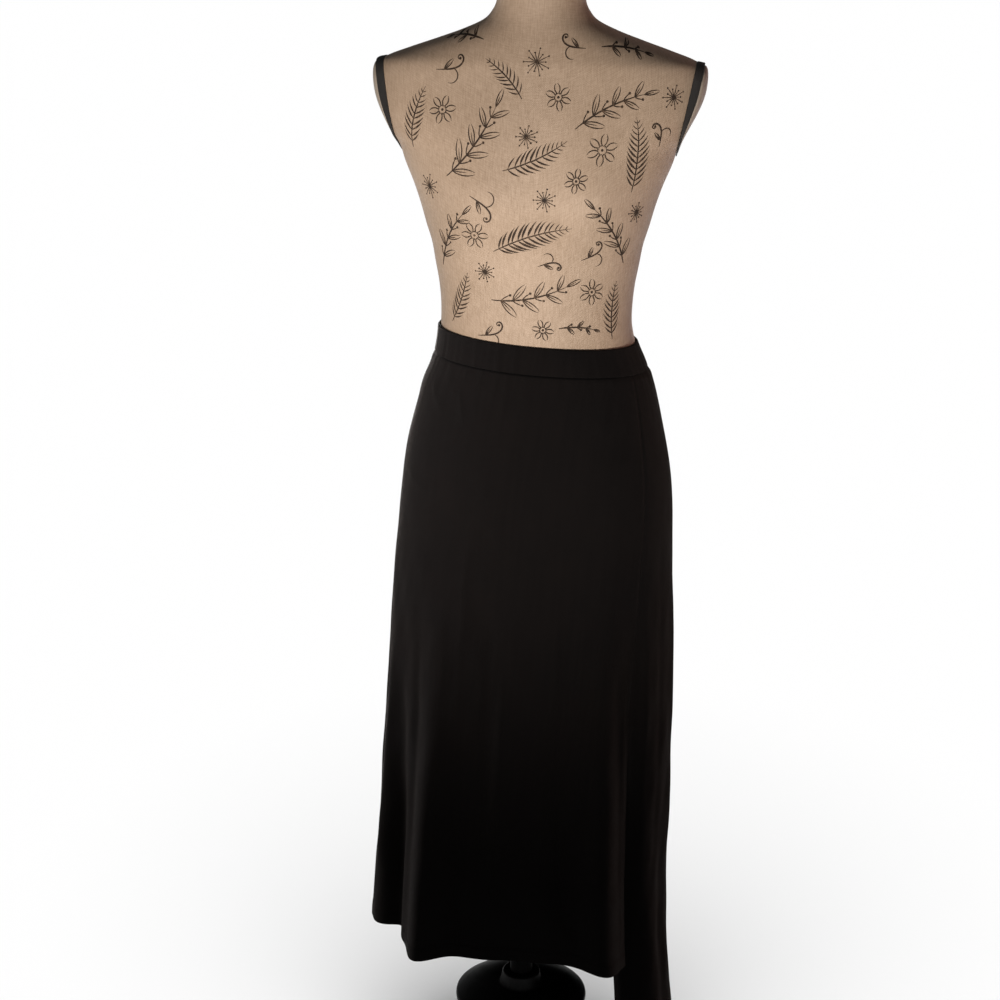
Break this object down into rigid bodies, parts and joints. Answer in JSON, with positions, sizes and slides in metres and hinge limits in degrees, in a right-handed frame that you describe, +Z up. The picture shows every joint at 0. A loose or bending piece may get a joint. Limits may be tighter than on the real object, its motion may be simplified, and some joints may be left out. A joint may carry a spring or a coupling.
{
  "type": "long skirt on a limbless dress form with stand",
  "caption": "Long jersey skirt with a sewn waistband and a side slit, worn by a limbless linen-covered dress form on a turned stand.",
  "frame": {"origin": "on the floor, at the centre of the stand's base", "axes": "+Z up; the form and the skirt face -Y, so +X is the form's own left side, where the slit is"},
  "size_m": [0.4343, 0.32, 1.578],
  "materials": {
    "black_jersey": "fine black knit jersey",
    "linen": "natural linen, plain weave",
    "black_tape": "black woven tape",
    "black_paint": "satin black"
  },
  "bodies": {
    "root": {"skirt_front": "black_jersey", "skirt_back": "black_jersey", "skirt_waistband": "black_jersey", "form_torso": "linen", "form_arm_plate_left": "linen", "form_arm_plate_right": "linen", "form_arm_tape_left": "black_tape", "form_arm_tape_right": "black_tape", "stand_pole": "black_paint", "stand_base": "black_paint"}
  },
  "joints": []
}
